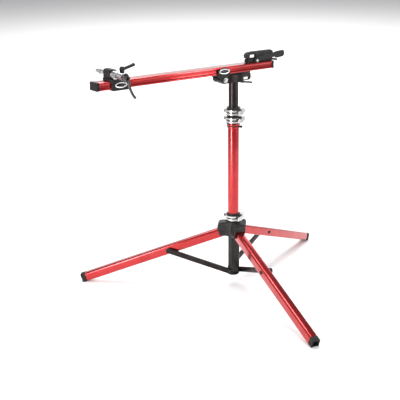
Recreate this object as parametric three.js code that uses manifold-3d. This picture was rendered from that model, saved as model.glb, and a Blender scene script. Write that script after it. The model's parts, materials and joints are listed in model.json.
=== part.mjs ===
// A folding tripod stand that holds a bicycle by its fork ends and its bottom bracket.
// Millimetres, +Z up. The rail lies along X with its fork end at -X, and the fork axle along Y.
import * as THREE from 'three';
import { mergeVertices } from 'three/addons/utils/BufferGeometryUtils.js';
import Module from 'manifold-3d';

const wasm = await Module();
wasm.setup();

// ---------------------------------------------------------------- driving sizes
const gap = 0.3; // between pieces that touch
const runGap = 0.3; // all round a piece that turns or slides
const foldGap = 1; // between a folded leg and the post

// The mast: an outer tube on a post, and an inner tube that slides in it.
const mastRadius = 20;
const mastWall = 1.8;
const mastTop = 606;
const innerStep = 3; // the inner tube's radius is this much less than the mast's
const upperTubeRadius = mastRadius - innerStep;
const upperTubeWall = 2;
const upperTubeInside = 254; // length of the inner tube below the mast's top
const columnShown = 191; // from the mast's top to the rail's underside

const postRadius = mastRadius + 3;
const postTop = 205;
const postBottom = 53;
const postBore = 12;
const postSpigot = 42;
const postCapDepth = 8;
const screwDepth = 7; // how far a strut's screw goes into the post

const legCount = 3;
const firstLegHeading = 20; // degrees from +X
const legWidth = 30;
const legDepth = 32;
const legWall = 2;
const legLength = 566; // pivot to the end of the foot
const legTopRound = 7;
const legBottomRound = 3;
const legPivotRadius = postRadius + foldGap + legDepth / 2; // from the mast's axis
const legPivotHeight = 210;
const strutPinAlongLeg = 211; // from the leg's pivot

const footLength = 18;
const footPlug = 22;
const footPatch = 0.9; // how far the foot's corner is cut flat to stand on the floor
const footMouthSide = 5.5; // wall on each side of the foot's open end
const footMouthHeight = 21;
const footMouthDepth = 14;
const footArchHeight = 4;

const strutPivotRadius = 12;
const strutPivotHeight = 61;
const strutHeight = 19;
const strutThickness = 6;
const strutSpacer = 3.2; // between the leg's side and the strut
const pinRadius = 4;
const pinHeadRadius = 6;
const pinHeadHeight = 2.4;

const hubBottom = 198;
const hubTop = 251;
const hubCoreWall = 11; // of the hub's middle, round the mast
const hubWall = 5.4; // beside each leg
const hubNose = 17.5; // beyond the legs' pivots
const hubNoseBottom = 8.5;
const hubShoulder = 229;
const neckWall = 2;
const neckClamp = 25; // height of a neck that a clamp closes on

const collarWall = 2.7;
const collarHeight = 21;
const collarSlotHeight = 3.6;
const lugRise = 10.7; // of the lugs, beyond the band
const lugWidth = 21;
const lugSlit = 1.5; // half the slit between the lugs
const clampHeading = 52.6; // degrees, the side that the clamp lugs face
const skewerRise = 3.7; // of the clamp's bolt, beyond the band
const skewerRadius = 2.9;
const clampNutRadius = 6;
const clampNutLength = 13;
const camOffset = 30; // the clamp lever's pivot, along the bolt
const camRadius = 8;
const camHeight = 15;
const camEye = 4; // half the height of the bolt's eye
const clampArmRise = 8.7; // of the lever's arm, beyond the band
const clampArmHeight = 13;
const clampArmThickness = 5;
const clampSeat = 2; // between a clamp and what it stands on

const lipHeight = 5;
const lipWall = 4;
const ringHeight = 9.5;
const ringWall = 3.6;
const ringSkirt = 7;
const ringSkirtWall = 2;
const knobHeading = -37;
const knobRadius = 5;

const railWidth = 45;
const railHeight = 26;
const railWall = 2.2;
const railRound = 3;
const railGroove = 1.3;
const railGrooveHeight = 8;
const railForkEnd = -541;
const railCradleEnd = 155.5;
const forkCapLength = 10;
const cradleCapLength = 7;
const capProud = 0.7;
const capPlugLength = 14;

const hingeX = -56;
const hingeDrop = 19; // of the hinge, below the rail
const knuckleRadius = 13;
const knuckleHalf = 14; // half the width of the middle knuckle
const cheekThickness = 5.6;
const hingeBoltRadius = 4.5;
const headDepth = 34; // from the rail's underside to the head's
const headReach = 74.5;
const headSide = 4; // beside the inner tube
const headWall = 4;
const saddleFrom = -85;
const saddleTo = 62;
const cheekTo = -36;
const saddleFloor = 5.3;
const loopFrom = 39;
const loopTo = 65;
const loopHalf = 4; // half the thickness of the plate that the loop is cut in
const loopDrop = 22.5; // from the rail's underside to the loop's top
const loopHeight = 8.7;
const latchPivotX = 34;
const latchLength = 46;
const latchDrop = 9; // degrees below level
const latchWidth = 12;
const latchEye = 3.2;
const latchPinRadius = 2;
const latchEar = 3.4; // thickness of each ear that carries the latch's pin

const carriageFrom = -500;
const carriageTo = -434;
const deckFrom = -504;
const deckTo = -430;
const carriageWall = 5.4;
const carriageFloor = 4;
const deckHeight = 7.5;
const badgeHalfLength = 22;
const badgeHalfHeight = 9;
const badgeThickness = 1.6;

const axleX = -489;
const axleRise = 13.3; // above the carriage's deck
const forkWidth = 100; // between the faces that the fork ends close on
const dropoutGap = 7.6;
const axleRadius = 7.5;
const axleEndRadius = 4.4;
const blockHalfLength = 14;
const blockHalfWidth = 20;
const blockTopRise = 16;
const blockRound = 9;
const flangeRadius = 13;
const flangeFrom = 22.5;
const flangeThickness = 11;
const sleeveNutRadius = 10.5;
const sleeveNutLength = 26;
const endNutRadius = 8.5;
const endNutLength = 16;
const tipLength = 10;
const rodRadius = 3;
const forkCamRadius = 11.5;
const forkCamHalf = 8.5;
const forkEyeRadius = 5;
const forkEyeHalf = 3.4;
const leverLean = 27; // degrees from straight down towards +X

const studX = -445;
const handleLift = 10.7; // of the handle's boss, above the deck
const handleHeight = 19.5;
const handleRadius = 7.5;
const handleArm = 42;
const handleRise = 10;

const cradleFrom = 54;
const cradleTo = 168;
const cradleHalfWidth = 9;
const cradleBaseHeight = 12.5;
const padHalfWidth = 10;
const padHeight = 25;
const padOverhang = 3;
const slotFrom = 65;
const slotTo = 97;
const slotLift = 2.2; // of the slot, above the pad's underside
const slotHeight = 12.2;
const strapPivotX = 92;
const strapPivotRise = 7.3; // above the rail
const strapThickness = 6;
const strapWidth = 15;
const strapLength = 81;
const tabWidth = 23;
const tabLength = 44;
const strapTilt = 6; // degrees above the rail
const strapScrewRadius = 3;

const round = 32; // sides of a full turn on the mast's pieces
const medium = 24; // and on the axle's
const small = 12; // and on pins and screws

// Sizes and places that follow from the ones above.
const neckRadius = mastRadius + runGap + neckWall;
const bandInner = neckRadius + gap;
const bandOuter = bandInner + collarWall;
const lugReach = bandOuter + lugRise;
const skewerOffset = bandOuter + skewerRise;
const clampArmRadius = bandOuter + clampArmRise;
const lipRadius = mastRadius + lipWall;
const ringRadius = mastRadius + ringWall;
const skirtRadius = mastRadius + ringSkirtWall;
const hubCoreRadius = mastRadius + hubCoreWall;
const hubReach = legPivotRadius + hubNose;
const hubToe = legPivotRadius + hubNoseBottom;
const neckBottom = hubTop + 4;
const hubLip = hubTop + 2 + neckClamp;
const ringBottom = mastTop + gap;
const ringTop = ringBottom + ringHeight;
const lowClampTop = ringTop + neckClamp;
const highNeckBottom = lowClampTop + gap;
const highNeckShoulder = highNeckBottom + 3;
const highNeckTop = highNeckShoulder + neckClamp;
const railBottom = mastTop + columnShown;
const railTop = railBottom + railHeight;
const railMiddle = (railBottom + railTop) / 2;
const hingeHeight = railBottom - hingeDrop;
const headBottom = railBottom - headDepth;
const saddleBottom = railBottom - gap - saddleFloor;
const headTop = saddleBottom - gap;
const headHalfWidth = upperTubeRadius + headSide;
const loopTop = railBottom - loopDrop;
const loopBottom = loopTop - loopHeight;
const deckBottom = railTop + gap;
const deckTop = deckBottom + deckHeight;
const axleHeight = deckTop + axleRise;
const handleBottom = deckTop + handleLift;
const handleTop = handleBottom + handleHeight;
const padBottom = railTop + gap + cradleBaseHeight + gap;
const strapHeight = railTop + strapPivotRise;
const postFlat = legWidth / 2 + strutSpacer - 2 * gap; // from the axis to the flats that the struts pass
const cheekInner = railWidth / 2 + gap;
const cheekOuter = cheekInner + cheekThickness;
const footMouthWidth = legWidth - 2 * footMouthSide;

// ---------------------------------------------------------------- finishes
function finish(color, roughness, metalness) {
  return new THREE.MeshStandardMaterial({ color, roughness, metalness });
}

const redMetal = finish(0xc22a30, 0.28, 0.6);
const blackMetal = finish(0x1d1a1a, 0.4, 0.5);
const greyCasting = finish(0x3a3535, 0.5, 0.2);
const blackPlastic = finish(0x201d1d, 0.55, 0);
const silver = finish(0xd8d8d6, 0.25, 0.9);
const rubber = finish(0x2c2829, 0.8, 0);
const steel = finish(0x9a9a9a, 0.3, 0.9);
const darkSteel = finish(0x2c2929, 0.4, 0.7);

// ---------------------------------------------------------------- solids
// A closed geometry as a solid: corners are shared, triangles of no width dropped, faces turned outwards.
function solid(geometry) {
  const bare = geometry.index ? geometry.toNonIndexed() : geometry.clone();
  bare.deleteAttribute('normal');
  bare.deleteAttribute('uv');
  const merged = mergeVertices(bare, 1e-4);
  const points = merged.attributes.position.array;
  const index = merged.index.array;
  const triangles = [];
  let volume = 0;
  for (let i = 0; i < index.length; i += 3) {
    const corners = [index[i], index[i + 1], index[i + 2]];
    if (new Set(corners).size < 3) continue;
    triangles.push(corners);
    const [a, b, c] = corners.map((k) => new THREE.Vector3().fromArray(points, 3 * k));
    volume += a.dot(b.cross(c));
  }
  const triVerts = new Uint32Array(triangles.flatMap((t) => (volume < 0 ? t.toReversed() : t)));
  return new wasm.Manifold(new wasm.Mesh({ numProp: 3, vertProperties: new Float32Array(points), triVerts }));
}

function surface(body) {
  const { vertProperties, triVerts } = body.getMesh();
  const geometry = new THREE.BufferGeometry();
  geometry.setAttribute('position', new THREE.BufferAttribute(vertProperties, 3));
  geometry.setIndex(new THREE.BufferAttribute(triVerts, 1));
  geometry.computeVertexNormals();
  return geometry;
}

function block([x0, x1], [y0, y1], [z0, z1]) {
  const geometry = new THREE.BoxGeometry(x1 - x0, y1 - y0, z1 - z0);
  return solid(geometry.translate((x0 + x1) / 2, (y0 + y1) / 2, (z0 + z1) / 2));
}

// A round bar along x, y or z, from one place on that axis to another, through the point at.
function bar(axis, radius, [from, to], at = [0, 0, 0], sides = small) {
  const geometry = new THREE.CylinderGeometry(radius, radius, to - from, sides);
  if (axis === 'x') geometry.rotateZ(Math.PI / 2);
  if (axis === 'z') geometry.rotateX(Math.PI / 2);
  const place = { x: 0, y: 1, z: 2 }[axis];
  const centre = [...at];
  centre[place] = (from + to) / 2;
  return solid(geometry.translate(...centre));
}

function tube(outer, inner, span, sides = round) {
  const longer = [span[0] - 1, span[1] + 1];
  return bar('z', outer, span, [0, 0, 0], sides).subtract(bar('z', inner, longer, [0, 0, 0], sides));
}

// A profile of [radius, height] corners turned about the Z axis; it starts and ends on the axis.
function turned(profile, sides = round) {
  const points = profile.map(([r, z]) => new THREE.Vector2(r, z));
  return solid(new THREE.LatheGeometry(points, sides).rotateX(Math.PI / 2));
}

// A flat outline carried along an axis: along x it is drawn in (y, z), along y in (x, z), along z in (x, y).
function prism(axis, shape, [from, to], curveSegments = 6) {
  const geometry = new THREE.ExtrudeGeometry(shape, { depth: to - from, bevelEnabled: false, curveSegments });
  if (axis === 'z') return solid(geometry.translate(0, 0, from));
  geometry.rotateX(Math.PI / 2);
  if (axis === 'y') return solid(geometry.translate(0, to, 0));
  return solid(geometry.rotateZ(Math.PI / 2).translate(from, 0, 0));
}

// A rectangle with its own corner radius at the bottom and at the top.
function rounded([x0, x1], [y0, y1], bottom, top = bottom) {
  const shape = new THREE.Shape();
  shape.moveTo(x0 + bottom, y0);
  shape.lineTo(x1 - bottom, y0);
  shape.absarc(x1 - bottom, y0 + bottom, bottom, -Math.PI / 2, 0);
  shape.absarc(x1 - top, y1 - top, top, 0, Math.PI / 2);
  shape.absarc(x0 + top, y1 - top, top, Math.PI / 2, Math.PI);
  shape.absarc(x0 + bottom, y0 + bottom, bottom, Math.PI, 1.5 * Math.PI);
  shape.closePath();
  return shape;
}

// A bar with round ends between two points of a plane.
function link(ax, ay, bx, by, half) {
  const lean = Math.atan2(by - ay, bx - ax);
  const shape = new THREE.Shape();
  shape.absarc(bx, by, half, lean - Math.PI / 2, lean + Math.PI / 2);
  shape.absarc(ax, ay, half, lean + Math.PI / 2, lean + 1.5 * Math.PI);
  shape.closePath();
  return shape;
}

const stand = new THREE.Group();

function piece(name, body, material, parent = stand) {
  const mesh = new THREE.Mesh(surface(body), material);
  mesh.name = name;
  parent.add(mesh);
  return mesh;
}

function place(x, y, z, parent = stand) {
  const group = new THREE.Group();
  group.position.set(x, y, z);
  parent.add(group);
  return group;
}

const degrees = THREE.MathUtils.degToRad;

// ---------------------------------------------------------------- lower post
// The post is round with three flats, one for each strut to lie against.
function flats(outerRadius, span) {
  let body = bar('z', outerRadius, span, [0, 0, 0], round);
  for (let k = 0; k < legCount; k += 1) {
    const cut = new THREE.BoxGeometry(4 * outerRadius, outerRadius, 2 * (span[1] - span[0]));
    cut.translate(0, postFlat + outerRadius / 2, (span[0] + span[1]) / 2);
    cut.rotateZ(degrees(firstLegHeading + (k * 360) / legCount));
    body = body.subtract(solid(cut));
  }
  return body;
}

function acrossFlat(radius, from, to) {
  // a bar that stands square to each strut's flat, at the strut's lower pivot
  const bars = [];
  for (let k = 0; k < legCount; k += 1) {
    const geometry = new THREE.CylinderGeometry(radius, radius, to - from, small);
    geometry.translate(strutPivotRadius, (from + to) / 2, strutPivotHeight);
    bars.push(solid(geometry.rotateZ(degrees(firstLegHeading + (k * 360) / legCount))));
  }
  return bars;
}

let post = flats(postRadius, [postBottom, postTop]);
post = post.add(bar('z', mastRadius - mastWall - gap, [postTop - 1, postTop + postSpigot], [0, 0, 0], round));
post = post.subtract(bar('z', postBore, [postBottom - 1, postTop + postSpigot + 1], [0, 0, 0], small));
for (const hole of acrossFlat(pinRadius + gap, postFlat - screwDepth - gap, postFlat + 1)) {
  post = post.subtract(hole);
}
piece('lower_post', post, greyCasting);

const capTop = postBottom - gap;
const capEdge = 4;
const capProfile = [
  [0, capTop - postCapDepth],
  [postRadius - 2 * capEdge, capTop - postCapDepth],
  [postRadius - capEdge, capTop - postCapDepth + 1],
  [postRadius - 1, capTop - postCapDepth + capEdge],
  [postRadius, capTop],
  [0, capTop],
];
const capPlug = bar('z', postBore - gap, [capTop - 1, capTop + postCapDepth], [0, 0, 0], small);
const capSpan = [capTop - 2 * postCapDepth, capTop + 1];
piece('post_cap', turned(capProfile).intersect(flats(postRadius + 1, capSpan)).add(capPlug), greyCasting);

// ---------------------------------------------------------------- mast tubes
piece('mast_tube', tube(mastRadius, mastRadius - mastWall, [postTop + gap, mastTop]), redMetal);

const ring = tube(ringRadius, mastRadius + gap, [ringBottom, ringTop])
  .add(tube(neckRadius, mastRadius + gap, [ringTop - 1, lowClampTop]))
  .add(tube(skirtRadius, mastRadius + gap, [ringBottom - ringSkirt, ringBottom + 1]));
const ringTurn = place(0, 0, ringBottom - ringSkirt / 2);
ringTurn.rotation.z = degrees(knobHeading);
const slit = (low, high) => {
  const cut = new THREE.BoxGeometry(lugReach, 2 * lugSlit, high - low);
  cut.translate(lugReach / 2, 0, (low + high) / 2);
  return solid(cut.rotateZ(degrees(clampHeading)));
};
const slottedRing = ring.subtract(slit(ringTop + clampSeat, lowClampTop + 1));
const knobCut = new THREE.CylinderGeometry(knobRadius / 2 + gap, knobRadius / 2 + gap, ringRadius, small);
knobCut.rotateZ(Math.PI / 2).translate(mastRadius + ringRadius / 2, 0, 0);
knobCut.rotateZ(degrees(knobHeading)).translate(0, 0, ringBottom - ringSkirt / 2);
piece('bearing_ring', slottedRing.subtract(solid(knobCut)), redMetal);

const knobStem = mastRadius + gap;
const knobBall = new THREE.SphereGeometry(knobRadius, 12, 8);
knobBall.translate(skirtRadius + gap + knobRadius, 0, 0);
const plunger = bar('x', knobRadius / 2, [knobStem, skirtRadius + knobRadius]).add(solid(knobBall));
piece('index_knob', plunger, blackPlastic, ringTurn);

// The turning sleeve's lower half runs inside the ring, and its upper neck carries the height clamp.
const sleeveOuter = mastRadius;
const sleeveInner = upperTubeRadius + runGap;
const turningSleeve = tube(sleeveOuter, sleeveInner, [mastTop + 1, highNeckBottom + 1])
  .add(tube(neckRadius, sleeveInner, [highNeckBottom, highNeckTop]))
  .subtract(slit(highNeckShoulder + clampSeat, highNeckTop + 1));
piece('turning_sleeve', turningSleeve, silver);

function lip(name, inner, low, material) {
  piece(name, tube(lipRadius, inner, [low, low + lipHeight]), material);
}
lip('sleeve_bush', sleeveInner, highNeckTop + gap, blackPlastic);

const upperTubeTop = headTop - headWall - gap;
const upperSpan = [mastTop - upperTubeInside, upperTubeTop];
piece('upper_tube', tube(upperTubeRadius, upperTubeRadius - upperTubeWall, upperSpan), blackMetal);

// ---------------------------------------------------------------- quick-release clamps
// Drawn with the lugs facing +Y and the bolt along X, then turned to the clamp's heading.
function clamp(prefix, low) {
  const seat = place(0, 0, low + collarHeight / 2);
  seat.rotation.z = degrees(clampHeading - 90);
  const half = collarHeight / 2;
  const lugs = prism('z', rounded([-lugWidth, lugWidth], [bandInner, lugReach], 1, 6), [-half, half], 3);
  const armSlot = collarSlotHeight / 2;
  let band = bar('z', bandOuter, [-half, half], [0, 0, 0], round).add(lugs);
  band = band.subtract(bar('z', bandInner, [-half - 1, half + 1], [0, 0, 0], round));
  band = band.subtract(block([-lugSlit, lugSlit], [0, lugReach + 1], [-half - 1, half + 1]));
  const armWay = block([-bandOuter - 1, bandOuter + 1], [-bandOuter - 1, bandInner / 2], [-armSlot, armSlot]);
  band = band.subtract(armWay);
  band = band.subtract(bar('x', skewerRadius + gap, [-lugWidth - 1, lugWidth + 1], [0, skewerOffset, 0]));
  piece(`${prefix}_clamp`, band, silver, seat);

  const nutFrom = -lugWidth - gap - clampNutLength;
  const bolt = bar('x', skewerRadius, [nutFrom + 1, camOffset], [0, skewerOffset, 0])
    .add(bar('x', clampNutRadius, [nutFrom, -lugWidth - gap], [0, skewerOffset, 0]))
    .add(bar('z', camRadius - 3, [-camEye, camEye], [camOffset, skewerOffset, 0]))
    .subtract(bar('z', rodRadius + gap, [-camEye - 1, camEye + 1], [camOffset, skewerOffset, 0]));
  piece(`${prefix}_clamp_bolt`, bolt, steel, seat);

  // The lever: two round cheeks on a pin, and an arm that follows the clamp round towards its front.
  const cheeks = bar('z', camRadius, [camEye + gap, camHeight / 2], [camOffset, skewerOffset, 0])
    .add(bar('z', camRadius, [-camHeight / 2, -camEye - gap], [camOffset, skewerOffset, 0]))
    .add(bar('z', rodRadius, [-camHeight / 2, camHeight / 2], [camOffset, skewerOffset, 0]));
  const innerArm = clampArmRadius - clampArmThickness / 2;
  const outerArm = clampArmRadius + clampArmThickness / 2;
  const start = degrees(28);
  const stop = degrees(-62);
  const arm = new THREE.Shape();
  arm.absarc(0, 0, outerArm, stop, start);
  arm.absarc(0, 0, innerArm, start, stop, true);
  const flare = new THREE.Vector2(Math.cos(stop), Math.sin(stop));
  arm.lineTo(flare.x * innerArm + 1.5, flare.y * innerArm - 9);
  arm.lineTo(flare.x * outerArm + 2.5, flare.y * outerArm - 7);
  arm.closePath();
  const rootSpan = [-clampArmHeight / 2, clampArmHeight / 2];
  const root = bar('z', camRadius, rootSpan, [camOffset + 4, skewerOffset - 10, 0]);
  const eyeSpan = [-camEye - gap, camEye + gap];
  const clearOfBolt = block([0, camOffset + 6], [skewerOffset - 7, lugReach + 10], eyeSpan);
  const clearOfLugs = block([-1, lugWidth + gap], [0, lugReach + 10], [-half, half]);
  const sweep = prism('z', arm, [-clampArmHeight / 2, clampArmHeight / 2], 9);
  const web = root.add(sweep).subtract(clearOfBolt).subtract(clearOfLugs);
  const pivot = place(camOffset, skewerOffset, 0, seat);
  const lever = piece(`${prefix}_lever`, cheeks.add(web), silver, pivot);
  lever.position.set(-camOffset, -skewerOffset, 0);
}

clamp('turn', ringTop + clampSeat);
clamp('height', highNeckShoulder + clampSeat);

// ---------------------------------------------------------------- leg hub
// Drawn with one lobe along +X. Each lobe is a hood over a leg's end, open below and outwards.
const legLean = (() => {
  const half = legDepth / 2;
  const reach = Math.hypot(legLength, half);
  return Math.asin((legPivotHeight + footPatch) / reach) - Math.atan2(half, legLength);
})();

function lobe(heading) {
  const side = new THREE.Shape();
  side.moveTo(0, hubBottom);
  side.lineTo(hubToe, hubBottom);
  side.lineTo(hubReach, hubShoulder);
  side.bezierCurveTo(hubReach + 1, hubTop - 8, hubReach - 8, hubTop - 2, hubReach - 17, hubTop - 1);
  side.lineTo(0, hubTop);
  side.closePath();
  const half = legWidth / 2 + 2 * gap + hubWall;
  const front = rounded([-half, half], [hubBottom, hubTop], 2, 9);
  const hood = prism('y', side, [-half - 1, half + 1], 4).intersect(prism('x', front, [-1, hubReach + 5], 3));
  return turn(hood, heading);
}

// A solid turned about the mast's axis.
function turn(body, heading) {
  return solid(surface(body).rotateZ(degrees(heading)));
}

const legEnd = legDepth / 2; // the leg's hub end is round about its pivot
const channelInner = legPivotRadius - legEnd - gap;
function channel(heading) {
  // the ceiling lies along the leg's top face, which stops the leg when it is open
  const rise = legEnd + 2 * gap;
  const top = (x) => legPivotHeight + rise / Math.cos(legLean) - (x - legPivotRadius) * Math.tan(legLean);
  const shape = new THREE.Shape();
  shape.moveTo(channelInner, hubBottom - 10);
  shape.lineTo(hubReach + 20, hubBottom - 10);
  shape.lineTo(hubReach + 20, top(hubReach + 20));
  shape.lineTo(legPivotRadius, top(legPivotRadius));
  shape.lineTo(channelInner, top(legPivotRadius));
  shape.closePath();
  const half = legWidth / 2 + 2 * gap;
  return turn(prism('y', shape, [-half, half]), heading);
}

const hubHalf = legWidth / 2 + 2 * gap + hubWall;
function pinHole(heading) {
  const hole = bar('y', pinRadius + gap, [-hubHalf - 1, hubHalf + 1], [legPivotRadius, 0, legPivotHeight]);
  return turn(hole, heading);
}

let hub = bar('z', hubCoreRadius, [hubBottom, hubTop + 1], [0, 0, 0], round);
const headings = Array.from({ length: legCount }, (_, k) => firstLegHeading + (k * 360) / legCount);
for (const heading of headings) hub = hub.add(lobe(heading));
for (const heading of headings) hub = hub.subtract(channel(heading)).subtract(pinHole(heading));
hub = hub.add(bar('z', neckRadius + 1.5, [hubTop, neckBottom], [0, 0, 0], round));
hub = hub.add(bar('z', neckRadius, [hubTop, hubLip], [0, 0, 0], round));
const hubBore = bar('z', mastRadius + runGap, [hubBottom - 1, hubLip + 1], [0, 0, 0], round);
const postWay = bar('z', postRadius + runGap, [hubBottom - 1, postTop + gap], [0, 0, 0], round);
hub = hub.subtract(hubBore).subtract(postWay).subtract(slit(neckBottom, hubLip + 1));
piece('leg_hub', hub, greyCasting);
lip('hub_bush', mastRadius + runGap, hubLip + gap, blackPlastic);
clamp('hub', neckBottom + gap);

// ---------------------------------------------------------------- legs, feet and struts
const letters = ['a', 'b', 'c'];
const legSection = rounded(
  [-legWidth / 2, legWidth / 2],
  [-legDepth / 2, legDepth / 2],
  legBottomRound,
  legTopRound,
);
const boreSection = rounded(
  [-legWidth / 2 + legWall, legWidth / 2 - legWall],
  [-legDepth / 2 + legWall, legDepth / 2 - legWall],
  legBottomRound / 2,
  legTopRound - legWall,
);
const plugSection = rounded(
  [-legWidth / 2 + legWall + gap, legWidth / 2 - legWall - gap],
  [-legDepth / 2 + legWall + gap, legDepth / 2 - legWall - gap],
  legBottomRound / 2,
  legTopRound - legWall,
);
const tubeEnd = legLength - footLength - gap;

function legTube() {
  const outline = link(0, 0, tubeEnd + legEnd, 0, legEnd);
  const outer = prism('x', legSection, [-legEnd, tubeEnd], 3);
  const roundEnd = prism('y', outline, [-legWidth, legWidth], 8);
  const bore = prism('x', boreSection, [-legEnd - 1, tubeEnd + 1], 2);
  return outer
    .intersect(roundEnd)
    .subtract(bore)
    .subtract(bar('y', pinRadius + gap, [-legWidth, legWidth], [0, 0, 0]))
    .subtract(bar('y', pinRadius + gap, [-legWidth, legWidth], [strutPinAlongLeg, 0, 0]));
}

function foot() {
  const floorCut = new THREE.BoxGeometry(6 * footLength, 2 * legWidth, legDepth);
  floorCut.translate(legLength * Math.cos(legLean), 0, -legPivotHeight - legDepth / 2);
  const cut = solid(floorCut.rotateY(-legLean));
  const mouth = new THREE.Shape();
  const springing = -legDepth / 2 + 5;
  mouth.moveTo(-footMouthWidth / 2, springing);
  mouth.lineTo(footMouthWidth / 2, springing);
  mouth.lineTo(footMouthWidth / 2, springing + footMouthHeight - footMouthWidth / 2);
  mouth.absarc(0, springing + footMouthHeight - footMouthWidth / 2, footMouthWidth / 2, 0, Math.PI);
  mouth.closePath();
  const arch = new THREE.Shape();
  arch.moveTo(-footMouthWidth / 2, -legDepth / 2 - 5);
  arch.lineTo(footMouthWidth / 2, -legDepth / 2 - 5);
  arch.lineTo(footMouthWidth / 2, -legDepth / 2);
  arch.quadraticCurveTo(0, -legDepth / 2 + 2 * footArchHeight, -footMouthWidth / 2, -legDepth / 2);
  arch.closePath();
  const head = prism('x', legSection, [legLength - footLength, legLength], 3);
  const plug = prism('x', plugSection, [legLength - footLength - footPlug, legLength - footLength + 1], 2);
  return head
    .add(plug)
    .subtract(prism('x', mouth, [legLength - footMouthDepth, legLength + 1], 8))
    .subtract(prism('x', arch, [legLength - footMouthDepth, legLength + 1], 5))
    .subtract(cut);
}

function strutPin() {
  const half = legWidth / 2;
  return bar('y', pinRadius, [-half - gap - 1, half + strutSpacer - gap], [strutPinAlongLeg, 0, 0])
    .add(bar('y', pinRadius + 3, [half + gap, half + strutSpacer - gap], [strutPinAlongLeg, 0, 0]))
    .add(bar('y', pinHeadRadius, [-half - gap - pinHeadHeight, -half - gap], [strutPinAlongLeg, 0, 0]));
}

const strutInner = legWidth / 2 + strutSpacer;
const strutOuter = strutInner + strutThickness;
const pinX = legPivotRadius + strutPinAlongLeg * Math.cos(legLean);
const pinZ = legPivotHeight - strutPinAlongLeg * Math.sin(legLean);

function strut() {
  const low = [strutPivotRadius, strutPivotHeight];
  const outline = link(...low, pinX, pinZ, strutHeight / 2);
  const bore = bar('y', pinRadius + gap, [strutInner - 1, strutOuter + 1], [low[0], 0, low[1]]);
  const rivet = bar('y', pinHeadRadius + 1, [strutOuter - 1, strutOuter + pinHeadHeight], [pinX, 0, pinZ]);
  return prism('y', outline, [strutInner, strutOuter], 6).subtract(bore).add(rivet);
}

function strutScrew() {
  const at = [strutPivotRadius, 0, strutPivotHeight];
  return bar('y', pinRadius, [postFlat - screwDepth, strutOuter + gap + 1], at)
    .add(bar('y', pinHeadRadius + 0.5, [strutOuter + gap, strutOuter + gap + pinHeadHeight], at));
}

function legPivotPin() {
  const at = [legPivotRadius, 0, legPivotHeight];
  return bar('y', pinRadius, [-hubHalf - gap - 1, hubHalf + gap + 1], at)
    .add(bar('y', pinHeadRadius, [hubHalf + gap, hubHalf + gap + pinHeadHeight], at))
    .add(bar('y', pinHeadRadius, [-hubHalf - gap - pinHeadHeight, -hubHalf - gap], at));
}

letters.forEach((letter, k) => {
  const spoke = place(0, 0, 0);
  spoke.rotation.z = degrees(headings[k]);
  const swing = place(legPivotRadius, 0, legPivotHeight, spoke);
  swing.rotation.y = legLean;
  piece(`leg_${letter}`, legTube(), redMetal, swing);
  piece(`foot_${letter}`, foot(), rubber, swing);
  piece(`strut_pin_${letter}`, strutPin(), darkSteel, swing);
  piece(`strut_${letter}`, strut(), blackMetal, spoke);
  piece(`strut_screw_${letter}`, strutScrew(), darkSteel, spoke);
  piece(`leg_pin_${letter}`, legPivotPin(), darkSteel, spoke);
});

// ---------------------------------------------------------------- mast head, saddle and latch
const knuckleAt = [hingeX, 0, hingeHeight];
const latchAt = [latchPivotX, 0, headBottom - latchEye - gap];
function mastHead() {
  const earInner = latchWidth / 2 + gap;
  const earOuter = earInner + latchEar;
  const side = new THREE.Shape();
  side.moveTo(hingeX, headBottom);
  side.lineTo(-upperTubeRadius - 7, headBottom);
  side.lineTo(loopFrom - 8, headBottom);
  side.lineTo(loopTo - 2, loopBottom - 3);
  side.quadraticCurveTo(headReach, loopBottom - 3, headReach, loopTop);
  side.quadraticCurveTo(headReach, headTop, loopTo, headTop);
  side.lineTo(hingeX, headTop);
  side.closePath();
  const plan = new THREE.Shape();
  plan.moveTo(hingeX - knuckleRadius, -knuckleHalf);
  plan.lineTo(hingeX + knuckleRadius + 2, -knuckleHalf);
  plan.quadraticCurveTo(-upperTubeRadius - 8, -headHalfWidth, 0, -headHalfWidth);
  plan.quadraticCurveTo(upperTubeRadius + 8, -headHalfWidth, loopFrom - 1, -earOuter);
  plan.lineTo(loopFrom + 2, -loopHalf);
  plan.lineTo(headReach + 1, -loopHalf);
  plan.lineTo(headReach + 1, loopHalf);
  plan.lineTo(loopFrom + 2, loopHalf);
  plan.lineTo(loopFrom - 1, earOuter);
  plan.quadraticCurveTo(upperTubeRadius + 8, headHalfWidth, 0, headHalfWidth);
  plan.quadraticCurveTo(-upperTubeRadius - 8, headHalfWidth, hingeX + knuckleRadius + 2, knuckleHalf);
  plan.lineTo(hingeX - knuckleRadius, knuckleHalf);
  plan.closePath();
  let body = prism('y', side, [-40, 40], 5).intersect(prism('z', plan, [headBottom - 20, headTop + 20], 5));
  const window = rounded([loopFrom, loopTo], [loopBottom, loopTop], 3);
  for (const hand of [-1, 1]) {
    const span = [hand * earInner, hand * earOuter].sort((a, b) => a - b);
    const ear = bar('y', latchEye + 1, span, latchAt).add(
      block([latchPivotX - latchEye - 1, latchPivotX + latchEye + 1], span, [latchAt[2], headBottom + 1]),
    );
    body = body.add(ear);
  }
  return body
    .add(bar('y', knuckleRadius, [-knuckleHalf, knuckleHalf], knuckleAt, medium))
    .subtract(bar('y', hingeBoltRadius + gap, [-knuckleHalf - 1, knuckleHalf + 1], knuckleAt))
    .subtract(bar('y', latchPinRadius + gap, [-knuckleHalf, knuckleHalf], latchAt))
    .subtract(bar('z', upperTubeRadius + gap, [headBottom - 10, headTop - headWall], [0, 0, 0], round))
    .subtract(prism('y', window, [-40, 40], 4));
}
piece('mast_head', mastHead(), blackPlastic);

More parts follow.
